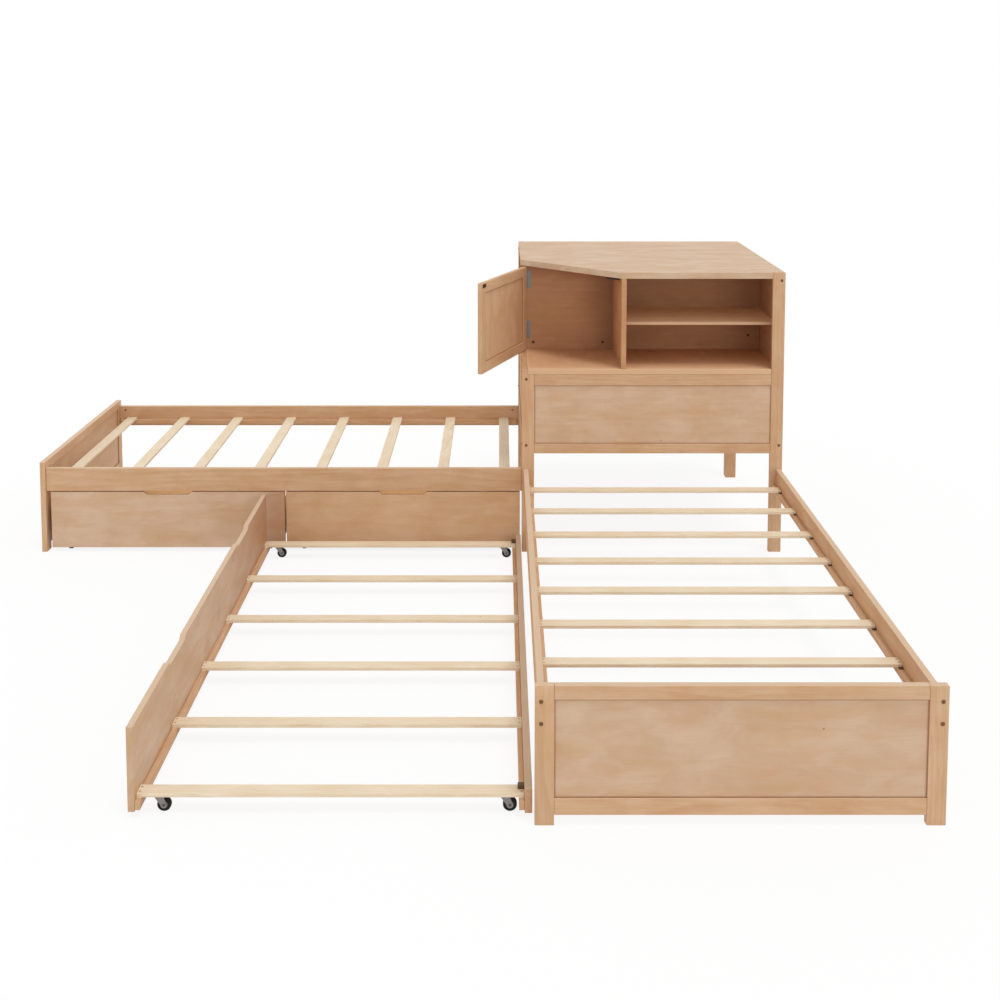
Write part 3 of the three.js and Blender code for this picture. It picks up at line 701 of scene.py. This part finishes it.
material, tree = new_material("door_frame")
offset, own = own_timber(varnished)
solid = {"figure": 0.22, "mottle": 0.38, "fibre": 0.26, "ring_width": 0.013}
stiles, place = figured(tree, own, "z", offset, ends=0.7, **solid)
rails, _ = figured(tree, own, (0, 0, door_turn), offset, ends=0.0, **solid)
along = node(tree, "SeparateXYZ", {0: on_door(tree)}).outputs["X"]
past_first = calc(tree, "GREATER_THAN", along, door_run[0] + stile_width)
before_last = calc(tree, "LESS_THAN", along, door_run[1] - stile_width)
is_rail = times(tree, past_first, before_last)
figure = blend(tree, is_rail, stiles["Color"], rails["Color"])
finish_timber(tree, own, figure, stiles["Height"], place, stiles["Roughness"])
dress("door_frame", material, rail_edge)
material = timber("door_panel", "z", varnished, figure=0.14, mottle=0.5)
far_off = 1.0
opening = (Vector((door_run[0] + stile_width, -far_off, stile_width)),
           Vector((door_run[1] - stile_width, far_off, door_high.z - door_low.z - stile_width)))
# Painted shade on the door panel where it meets the stiles and rails.
paint_panel_corner_shade(material, opening, on_door(material.node_tree))
dress("door_panel", material, panel_edge)


# Trundle: a tall veneered panel with two finger cut-outs on the outer side, and a low rail of
# solid timber on the inner side. The slats and ledgers between them carry the castors.
trundle_panel = timber("trundle_front_panel", "y", veneered, figure=0.14, mottle=0.55, fibre=0.18,
                       ring_width=0.024, ends=0.0)
# Painted shade: the trundle panel darkens towards its far end, under the bed. The panel and the inner
# rail carry a painted sheen on their tops.
trundle_middle, trundle_far_end = -0.55, 0.42
paint_shade_towards(trundle_panel, "Y", trundle_middle, trundle_far_end, colour(168, 108, 68),
               share=0.42)
dress("trundle_front_panel", paint_top_sheen(trundle_panel), rail_edge)
inner_rail = timber("trundle_inner_rail", "y", varnished, figure=0.26)
dress("trundle_inner_rail", paint_top_sheen(inner_rail), rail_edge)


# Drawers: a veneered front with a finger cut-out, screwed to a plain box of pale plywood that
# stands on two wheel axles.
plywood = {"pale": colour(247, 219, 174), "deep": colour(236, 200, 150), "edge": colour(226, 186, 134)}
near_trundle, at_trundle = -0.70, -0.50
for side in ("left", "right"):
    front = f"{side}_drawer_front"
    # The right drawer front's redder timber partly stands in for the warm shade on it.
    wood = redder(veneered) if front in red_boards else veneered
    material = timber(front, "x", wood, ends=0.0, **plain_veneer)
    if side == "left":
        # Painted shade: the left drawer front darkens towards the trundle panel.
        paint_shade_towards(material, "X", near_trundle, at_trundle, colour(168, 104, 62), share=0.4)
    dress(front, material, rail_edge)
    box = f"{side}_drawer_box"
    dress(box, timber(box, "x", plywood, figure=0.1, mottle=0.4, ends=0.0), board_edge)


# Frame bolts: bronzed button heads with a hexagon socket, drawn into barrel nuts that sit in
# the side rails. Two go through each post of a footboard and of a headboard.
def metal(name, shade, rough, metallic, scratches=900.0):
    """Plated metal or moulded plastic, with a fine unevenness in its tone and gloss."""
    dark_share, bright_share, least_bright = 0.75, 1.5, 0.02
    rubbed_reach, rubbed_share = 0.0008, 0.6
    uneven_gloss = 0.16
    scratch_relief, scratch_depth = 0.15, 0.0002
    material, tree = new_material(name)
    place = node(tree, "TexCoord").outputs["Object"]
    scratch = noise(tree, place, evenly, scratches, detail=3.0)
    dark = [c * dark_share for c in shade[:3]] + [1.0]
    bright = [min(1.0, c * bright_share + least_bright) for c in shade[:3]] + [1.0]
    worn = masked(tree, rubbed_edge, {"Place": place, "Reach": rubbed_reach})
    worn = times(tree, worn, rubbed_share)
    tone = blend(tree, worn, blend(tree, scratch, dark, shade), bright)
    roughness = plus(tree, rough - uneven_gloss / 2, times(tree, scratch, uneven_gloss))
    relief = bump(tree, scratch, scratch_relief, scratch_depth)
    surface = node(tree, "BsdfPrincipled", {"Base Color": tone, "Roughness": roughness,
                                            "Metallic": metallic, "Normal": relief})
    node(tree, "OutputMaterial", {"Surface": surface.outputs[0]})
    return material


def piece(name, bm, material, body):
    """A finished mesh becomes a piece of the scene that moves with its body."""
    made = bpy.data.objects.new(name, bpy.data.meshes.new(name))
    bmesh.ops.recalc_face_normals(bm, faces=bm.faces[:])
    bm.to_mesh(made.data)
    bm.free()
    bpy.context.scene.collection.objects.link(made)
    made.data.materials.append(material)
    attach(made, body)


def turned(bm, rings, where, outward, spin=0.0, steps=24):
    """A turned form on a face: rings of (radius, height, sides) from the rim to the middle,
    where 0 sides means round. It stands at a place and looks outward."""
    axis = Vector(outward).normalized()
    turn = axis.to_track_quat("Z", "Y").to_matrix().to_4x4()
    frame_of_head = Matrix.Translation(where) @ turn @ Matrix.Rotation(spin, 4, "Z")
    loops = []
    for radius, height, sides in rings:
        loop = []
        for step in range(steps):
            angle = math.tau * step / steps
            reach = radius
            if sides:
                half = math.pi / sides
                reach = radius * math.cos(half) / math.cos(angle % (2 * half) - half)
            point = Vector((reach * math.cos(angle), reach * math.sin(angle), height))
            loop.append(bm.verts.new(frame_of_head @ point))
        loops.append(loop)
    for outer, inner in zip(loops, loops[1:]):
        for step in range(steps):
            after = (step + 1) % steps
            bm.faces.new((outer[step], outer[after], inner[after], inner[step]))
    bm.faces.new(loops[-1])
    bm.faces.new(list(reversed(loops[0])))


bronze = metal("bronze_bolt", colour(132, 93, 50), rough=0.42, metallic=0.3)
bolt_head = [(0.0059, -0.0006, 0), (0.0059, 0.0002, 0), (0.0051, 0.0011, 0), (0.0036, 0.0016, 0),
             (0.0028, 0.0016, 6), (0.0026, 0.0005, 6)]
from_post_edge = 0.016
foot_bolt_heights = (0.332, 0.273)


def bolts(name, places, outward):
    bm = bmesh.new()
    for where in places:
        turned(bm, bolt_head, Vector(where), outward, spin=chance.uniform(0, 1))
    piece(name, bm, bronze, "frame")


foot_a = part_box("bed_a_footboard_left_post")[0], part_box("bed_a_footboard_right_post")[1]
foot_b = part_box("bed_b_footboard_left_post"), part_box("bed_b_footboard_right_post")
ends_a = foot_a[0].x + from_post_edge, foot_a[1].x - from_post_edge
ends_b = (min(box[0].y for box in foot_b) + from_post_edge,
          max(box[1].y for box in foot_b) - from_post_edge)
bolts("footboard_a_bolts", [(x, low.y, z) for x in ends_a for z in foot_bolt_heights], (0, -1, 0))
bolts("footboard_b_bolts", [(low.x, y, z) for y in ends_b for z in foot_bolt_heights], (-1, 0, 0))
near_bolt, far_bolt = 0.0175, 0.015
low_bolt, rail_bolt, top_bolt = 0.446, 0.719, 1.122
head_places = [(head_face + near_bolt, low_bolt), (head_face + near_bolt, rail_bolt),
               (high.x - far_bolt, low_bolt), (high.x - far_bolt, top_bolt)]
bolts("headboard_a_bolts", [(along, head_face, z) for along, z in head_places], (0, -1, 0))
bolts("headboard_b_bolts", [(head_face, along, z) for along, z in head_places], (-1, 0, 0))


# Barrel nuts: slotted steel nuts let into the inner faces of the side rails, near each end,
# where the frame bolts screw into them.
barrel_nut = [(0.005, -0.0004, 0), (0.005, 0.0002, 0), (0.0046, 0.0006, 0), (0.0012, 0.0006, 4),
              (0.0011, 0.0001, 4)]
from_rail_end = 0.028
nut_height = 0.330
bed_middle = (head_face + high.x) / 2
bm = bmesh.new()
for rail, axis in (("bed_a_left_side_rail", 0), ("bed_a_right_side_rail", 0),
                   ("bed_b_left_side_rail", 1), ("bed_b_right_side_rail", 1)):
    box_low, box_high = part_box(rail)
    inward = 1 if (box_low[axis] + box_high[axis]) / 2 < bed_middle else -1
    run = 1 - axis
    for end in (box_low[run] + from_rail_end, box_high[run] - from_rail_end):
        where, outward = Vector((0, 0, nut_height)), Vector((0, 0, 0))
        where[axis] = box_high[axis] if inward > 0 else box_low[axis]
        where[run] = end
        outward[axis] = inward
        turned(bm, barrel_nut, where, outward, spin=chance.uniform(0, 1))
piece("side_rail_barrel_nuts", bm, bronze, "frame")


# Slat gap shades: small dark blocks on bed A's right ledger, in front of each slat. They are painted
# shade that stands for the shadow in the gap under the slat's end.
def rounded_block(bm, centre, size, turn=None, rounding=0.001):
    """A moulded or planed block with its edges rounded."""
    made = bmesh.ops.create_cube(bm, size=1.0)["verts"]
    matrix = Matrix.Translation(centre) @ (turn or Matrix.Identity(4)) @ Matrix.Diagonal((*size, 1.0))
    bmesh.ops.transform(bm, matrix=matrix, verts=made)
    edges = list({edge for vert in made for edge in vert.link_edges})
    bmesh.ops.bevel(bm, geom=edges, offset=rounding, segments=2, affect="EDGES", profile=0.5)


def plastic(name, shade, rough):
    return metal(name, shade, rough, metallic=0.0, scratches=300.0)


painted_gap_shade = plastic("painted_gap_shade", colour(88, 52, 34), rough=0.5)
gap_shade_size = (0.013, 0.010, 0.003)
gap_shade_setback = 0.0015
ledger_width = 0.014
slat_width = 0.045
first_slat, slats_run, slat_count = 0.060, 1.8102, 8
bed_slats = [first_slat + step * (slats_run / (slat_count - 1)) for step in range(slat_count)]
deck_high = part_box("bed_a_slats_on_ledgers")[1]
bm = bmesh.new()
for middle in bed_slats:
    front = low.y + middle - slat_width / 2 - gap_shade_setback - gap_shade_size[1] / 2
    centre = Vector((deck_high.x - ledger_width / 2, front, bed_ledger_top + gap_shade_size[2] / 2))
    rounded_block(bm, centre, gap_shade_size, rounding=0.0006)
piece("painted_slat_gap_shades", bm, painted_gap_shade, "frame")


# Slat screws: two countersunk screws, plated pale yellow, go through each end of every slat
# into the ledger below it.
brass = metal("yellow_plate", colour(186, 160, 112), rough=0.45, metallic=0.25)
screw_head = [(0.0034, -0.0002, 0), (0.0034, 0.0001, 0), (0.0030, 0.0003, 0), (0.0013, 0.0003, 4),
              (0.0008, -0.0001, 4)]
screw_from_end, screw_from_middle = 0.007, 0.011
trundle_low, trundle_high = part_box("trundle_slats_on_ledgers")
trundle_end_gap, trundle_slat_count = 0.0175, 6
trundle_inset = trundle_end_gap + slat_width / 2
trundle_pitch = (trundle_high.y - trundle_low.y - 2 * trundle_inset) / (trundle_slat_count - 1)
trundle_slats = [trundle_low.y + trundle_inset + step * trundle_pitch
                 for step in range(trundle_slat_count)]
for name, body, deck, run, middles in (
    ("trundle_slat_screws", "trundle", "trundle_slats_on_ledgers", 1, trundle_slats),
    ("bed_a_slat_screws", "frame", "bed_a_slats_on_ledgers", 1, [low.y + m for m in bed_slats]),
    ("bed_b_slat_screws", "frame", "bed_b_slats_on_ledgers", 0, [low.x + m for m in bed_slats]),
):
    deck_low, deck_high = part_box(deck)
    across = 1 - run
    bm = bmesh.new()
    for middle in middles:
        for end in (deck_low[across] + screw_from_end, deck_high[across] - screw_from_end):
            for shift in (-screw_from_middle, screw_from_middle):
                where = Vector((0, 0, deck_high.z))
                where[across], where[run] = end, middle + shift
                turned(bm, screw_head, where, (0, 0, 1), spin=chance.uniform(0, 1), steps=16)
    piece(name, bm, brass, body)


# Bookcase fittings: cam locks behind brown caps on the cross panel and on the back of the side
# bookcase, and a magnet catch for the door, screwed below the top board.
black_plastic = plastic("black_plastic", colour(46, 30, 22), rough=0.45)
cap_plastic = plastic("cap_plastic", colour(112, 72, 44), rough=0.45)
cross_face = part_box("cross_panel")[0].y
cam_cap = [(0.0065, -0.0004, 0), (0.0065, 0.0004, 0), (0.0058, 0.0010, 0), (0.0044, 0.0010, 0),
           (0.0040, 0.0004, 0)]
cam_core = [(0.0039, 0.0004, 0), (0.0036, 0.0009, 0), (0.0018, 0.0009, 4), (0.0014, 0.0002, 4)]
cam_places = [(0.508, 0.792), (0.810, 0.792), (1.4427, 0.8227)]
for name, normal in (("cross_panel", (0, -1, 0)), ("side_back", (-1, 0, 0))):
    for part, rings, material in (("cams", cam_cap, cap_plastic), ("cam_cores", cam_core, black_plastic)):
        bm = bmesh.new()
        for along, z in cam_places:
            where = (along, cross_face, z) if normal[1] else (cross_face, along, z)
            turned(bm, rings, Vector(where), normal, spin=chance.uniform(0, 1))
        piece(f"{name}_{part}", bm, material, "frame")

chamfer_turn = Matrix.Rotation(math.radians(-chamfer_degrees), 4, "Z")
catch_size = (0.064, 0.015, 0.012)
catch_along, catch_behind = 0.479, 0.0285
top_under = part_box("top_board")[0].z
catch_place = pin + chamfer_turn @ Vector((catch_along, catch_behind, 0))
catch_place.z = top_under - catch_size[2] / 2
bm = bmesh.new()
rounded_block(bm, catch_place, catch_size, chamfer_turn)
piece("door_catch", bm, black_plastic, "frame")


# Door fittings: a dark striker plate for the catch's magnet lies on the inside of the door near
# its free edge, and is held by one screw.
striker_place = Vector((0.502, 0.0183, 0.3505))
striker_size = (0.034, 0.0016, 0.014)
striker_screw = [(0.0028, 0.0, 0), (0.0026, 0.0008, 0), (0.0009, 0.0008, 4), (0.0007, 0.0003, 4)]
bm = bmesh.new()
rounded_block(bm, striker_place, striker_size, rounding=0.0005)
turned(bm, striker_screw, striker_place + Vector((0, striker_size[1] / 2, 0)), (0, 1, 0))
bmesh.ops.transform(bm, matrix=door_swing, verts=bm.verts[:])
piece("door_striker", bm, black_plastic, "door")


# Hinges: zinc plated steel leaves, bent and rolled to a knuckle round a pin. Each leaf is held
# by three countersunk screws, to the cross panel and to the end of the door.
zinc = metal("zinc_plate", colour(138, 142, 144), rough=0.38, metallic=0.7)
leaf_edge = 0.0003
leaf_thickness = 0.0016
hinge_screw = [(0.0030, -0.0002, 0), (0.0030, 0.0002, 0), (0.0025, 0.0004, 0), (0.0011, 0.0004, 4),
               (0.0008, 0.0, 4)]
screw_shares = (0.15, 0.5, 0.85)
fixed_screw_from_end = 0.0095
door_leaf_start, door_screw_across = 0.0031, 0.0108
for height in ("lower", "upper"):
    fixed, moving = f"{height}_hinge_leaf", f"door_{height}_hinge_leaf"
    dress(fixed, zinc, leaf_edge)
    dress(moving, zinc, leaf_edge)
    leaf_low, leaf_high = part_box(fixed)
    heights = [leaf_low.z + share * (leaf_high.z - leaf_low.z) for share in screw_shares]
    bm = bmesh.new()
    for z in heights:
        where = Vector((leaf_high.x - fixed_screw_from_end, leaf_high.y - leaf_thickness, z))
        turned(bm, hinge_screw, where, (0, -1, 0), spin=chance.uniform(0, 1), steps=16)
    piece(f"{height}_hinge_screws", bm, zinc, "frame")
    bm = bmesh.new()
    for z in heights:
        where = Vector((door_leaf_start, door_screw_across, z - pin.z))
        turned(bm, hinge_screw, where, (-1, 0, 0), spin=chance.uniform(0, 1), steps=16)
    bmesh.ops.transform(bm, matrix=door_swing, verts=bm.verts[:])
    piece(f"door_{height}_hinge_screws", bm, zinc, "door")


# Castors: a pressed steel fork turns on a ball race below the slat, and a black rubber tyre runs
# on a grey moulded hub with spokes. A rivet through both cheeks is the axle.
def tyre_on_hub(name, axis, centre, hub_radius, axle_radius):
    """Black rubber outside the hub's rim, grey moulded plastic inside it, steel at the axle."""
    rim_blur = 0.0002
    grit_scale, grit_relief, grit_depth = 700.0, 0.2, 0.0002
    smooth, rougher, dull = 0.42, 0.16, 0.3
    material, tree = new_material(name)
    place = node(tree, "TexCoord").outputs["Object"]
    local = vector(tree, "SUBTRACT", place, centre)
    across = [1, 1, 1]
    across["xyz".index(axis)] = 0
    radius = vector(tree, "LENGTH", vector(tree, "MULTIPLY", local, across))
    is_tyre = ease(tree, radius, hub_radius - rim_blur, hub_radius + rim_blur)
    is_hub = ease(tree, radius, axle_radius - rim_blur, axle_radius + rim_blur)
    grit = noise(tree, place, evenly, grit_scale, detail=3.0)
    rubber = blend(tree, grit, colour(3, 3, 3), colour(15, 15, 16))
    moulded = blend(tree, grit, colour(124, 121, 121), colour(150, 147, 147))
    steel = blend(tree, grit, colour(120, 120, 122), colour(168, 168, 170))
    shade = blend(tree, is_tyre, blend(tree, is_hub, steel, moulded), rubber)
    rough = plus(tree, smooth, times(tree, plus(tree, is_tyre, grit), rougher))
    relief = bump(tree, grit, grit_relief, grit_depth)
    surface = node(tree, "BsdfPrincipled", {"Base Color": shade, "Roughness": rough,
                                            "Normal": relief, "Specular IOR Level": dull})
    node(tree, "OutputMaterial", {"Surface": surface.outputs[0]})
    return material


grey_steel = metal("castor_steel", colour(146, 141, 138), rough=0.40, metallic=0.6)
dark_steel = metal("rivet_steel", colour(92, 90, 88), rough=0.40, metallic=0.6)
hub_radius, castor_axle = 0.0105, 0.0034
fork_half = 0.0098
rib_count = 6
rib_size = (0.0064, 0.0012, 0.0010)
rib_radius, rib_offset = 0.0069, 0.0056
tyre_edge, rib_edge = 0.0005, 0.0002
all_hub = 1.0
axle_rivet = [(0.0042, -0.0002, 0), (0.0042, 0.0004, 0), (0.0034, 0.0011, 0), (0.0014, 0.0014, 0)]
for end in ("front", "back"):
    for side in ("outer", "inner"):
        dress(f"castor_fork_{end}_{side}", grey_steel, leaf_edge)
        wheel = f"castor_wheel_{end}_{side}"
        wheel_low, wheel_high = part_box(wheel)
        centre = (wheel_low + wheel_high) / 2
        dress(wheel, tyre_on_hub(wheel, "y", centre, hub_radius, castor_axle), tyre_edge)
        bm = bmesh.new()
        for outward in (-1, 1):
            turned(bm, axle_rivet, centre + Vector((0, outward * fork_half, 0)), (0, outward, 0))
        piece(f"castor_rivets_{end}_{side}", bm, dark_steel, f"fork_{end}_{side}")
        bm = bmesh.new()
        for outward in (-1, 1):
            for number in range(rib_count):
                turn = Matrix.Rotation(math.tau * number / rib_count, 4, "Y")
                middle = turn @ Vector((rib_radius, 0, 0)) + Vector((0, outward * rib_offset, 0))
                rounded_block(bm, centre + middle, rib_size, turn, rib_edge)
        moulded = tyre_on_hub(f"ribs_{end}_{side}", "y", centre, hub_radius=all_hub, axle_radius=0.0)
        piece(f"castor_ribs_{end}_{side}", bm, moulded, f"wheel_{end}_{side}")


# Stop blocks: brown plastic blocks on the first and last slat of the trundle, nailed against
# its inner rail.
brown_plastic = plastic("brown_plastic", colour(100, 76, 44), rough=0.5)
block_size = (0.017, 0.015, 0.012)
block_gap = 0.0005
block_forward = 0.0054
bm = bmesh.new()
for middle in (trundle_slats[0], trundle_slats[-1]):
    centre = Vector((trundle_high.x - block_gap - block_size[0] / 2, middle + block_forward,
                     trundle_high.z + block_size[2] / 2))
    rounded_block(bm, centre, block_size, rounding=0.0012)
piece("trundle_stop_blocks", bm, brown_plastic, "trundle")


# Drawer wheels: two plain moulded wheels with rubber tyres, on a steel axle at each end of a
# drawer, let into the drawer's floor.
drawer_hub, drawer_axle, drawer_tyre_edge = 0.0115, 0.0042, 0.0006
for drawer in ("left_drawer", "right_drawer"):
    for end in ("front", "back"):
        name = f"{drawer}_{end}_wheels"
        wheels_low, wheels_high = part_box(name)
        wheel_material = tyre_on_hub(name, "x", (wheels_low + wheels_high) / 2, drawer_hub, drawer_axle)
        dress(name, wheel_material, drawer_tyre_edge)
